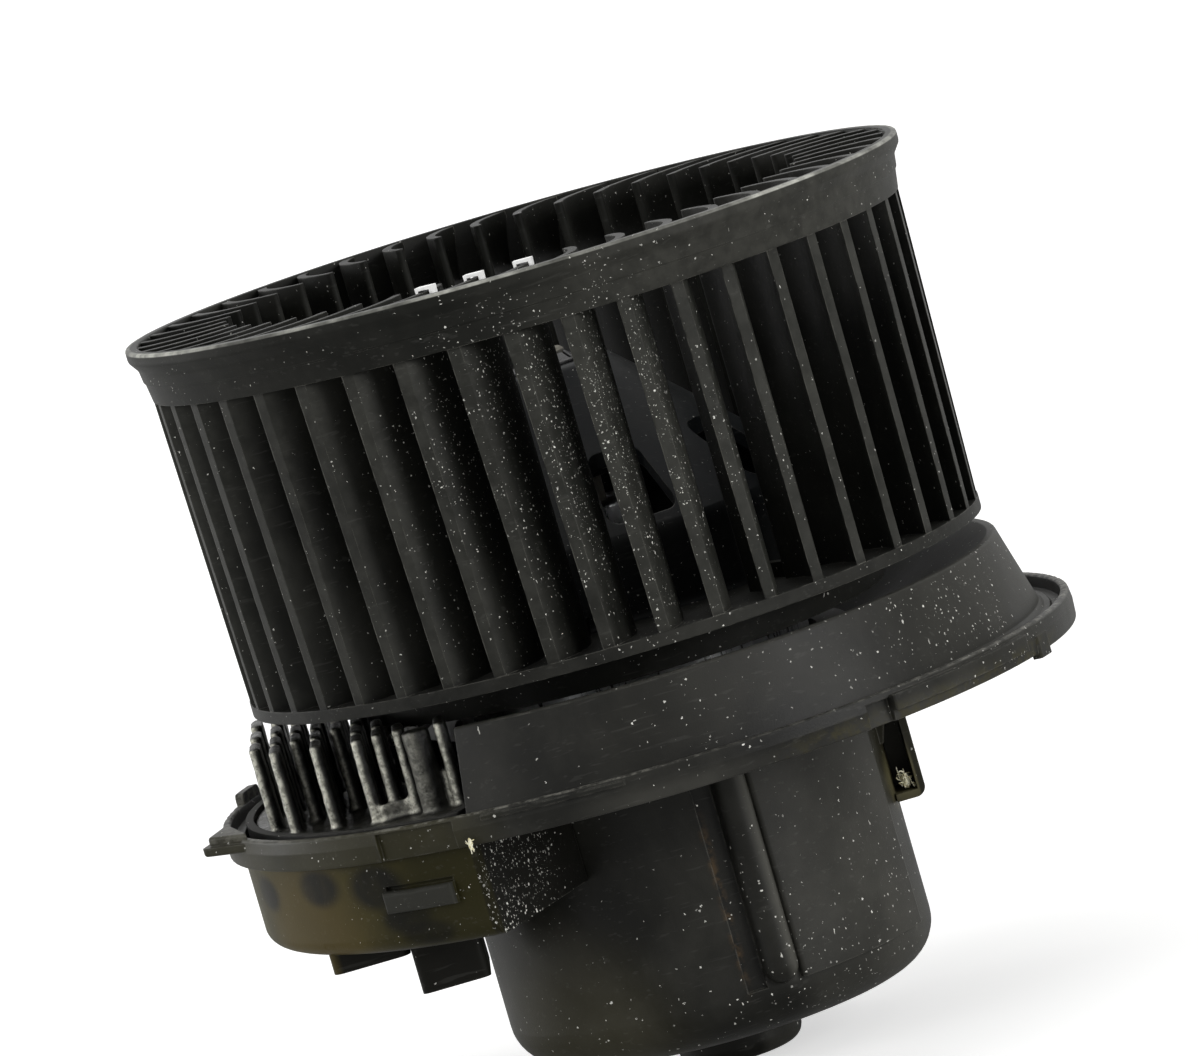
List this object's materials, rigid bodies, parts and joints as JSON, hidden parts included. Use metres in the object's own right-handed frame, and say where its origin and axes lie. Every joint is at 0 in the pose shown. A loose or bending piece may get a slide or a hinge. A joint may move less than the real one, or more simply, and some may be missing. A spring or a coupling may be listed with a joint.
{
  "type": "car cabin blower motor",
  "caption": "Squirrel-cage fan on a flange-mounted motor with a finned speed regulator, for a car's cabin ventilation.",
  "frame": {"origin": "on the fan axis, in the plane of the flange's seating floor", "axes": "+Z along the shaft towards the fan's inlet; -X towards the speed regulator; -Y is the front that the picture shows"},
  "size_m": [0.1695, 0.1673, 0.1612],
  "materials": {
    "black_polypropylene_fan": "matte, dusty",
    "black_polypropylene_housing": "matte, dusty",
    "black_polyamide": "matte, stained brown",
    "black_nylon": "matte",
    "washer_nylon": "matte",
    "phenolic_board": "matte",
    "capacitor_resin": "satin",
    "capacitor_can": "satin",
    "green_board": "satin",
    "black_epoxy": "matte",
    "carbon": "matte",
    "ferrite": "matte",
    "black_rubber": "matte",
    "spring_steel_clip": "bright",
    "spring_steel": "satin",
    "zinc_plated_steel": "satin",
    "zinc_plated_can": "satin",
    "ground_steel": "bright",
    "lamination_steel": "satin",
    "enamelled_copper": "gloss",
    "commutator_copper": "satin",
    "sintered_bronze": "matte",
    "brass_sheet": "satin",
    "tinned_brass": "satin",
    "cast_aluminium": "rough, dusty"
  },
  "bodies": {
    "housing": {"flange_housing": "black_polypropylene_housing", "motor_retainer_ring": "black_nylon", "retainer_screws": "zinc_plated_steel", "cup_isolator": "black_rubber", "floor_isolator": "black_rubber", "motor_can": "zinc_plated_can", "motor_end_cap": "zinc_plated_can", "magnet_front": "ferrite", "magnet_rear": "ferrite", "magnet_clips": "spring_steel", "bearing_upper": "sintered_bronze", "bearing_lower": "sintered_bronze", "bearing_washer_upper": "spring_steel", "brush_card": "phenolic_board", "brush_holder_front": "brass_sheet", "brush_holder_rear": "brass_sheet", "brush_spring_front": "spring_steel", "brush_spring_rear": "spring_steel", "suppressor_chokes": "enamelled_copper", "suppressor_capacitor": "capacitor_resin", "motor_busbars": "tinned_brass", "regulator_housing": "black_polyamide", "heat_sink": "cast_aluminium", "heat_sink_seal": "black_rubber", "circuit_board": "green_board", "power_transistor_front": "black_epoxy", "power_transistor_rear": "black_epoxy", "board_capacitor": "capacitor_can", "plug_pins": "tinned_brass", "regulator_screws": "zinc_plated_steel"},
    "rotor": {"fan_wheel": "black_polypropylene_fan", "balance_clips": "spring_steel_clip", "fan_push_nut": "zinc_plated_steel", "motor_shaft": "ground_steel", "thrust_washers": "washer_nylon", "armature_core": "lamination_steel", "armature_winding": "enamelled_copper", "commutator": "commutator_copper"},
    "front_brush": {"brush_front": "carbon"},
    "rear_brush": {"brush_rear": "carbon"}
  },
  "joints": [
    {"name": "fan_spin", "type": "hinge", "parent": "housing", "child": "rotor", "pos_m": [0, 0, 0], "axis": [0, 0, 1], "continuous": true},
    {"name": "brush_front_slide", "type": "slide", "parent": "housing", "child": "front_brush", "axis": [0, -1, 0], "range_m": [0, 0.003], "stiffness_N_per_m": 60, "springref_m": -0.02, "deforming": ["brush_spring_front"]},
    {"name": "brush_rear_slide", "type": "slide", "parent": "housing", "child": "rear_brush", "axis": [0, 1, 0], "range_m": [0, 0.003], "stiffness_N_per_m": 60, "springref_m": -0.02, "deforming": ["brush_spring_rear"]}
  ]
}
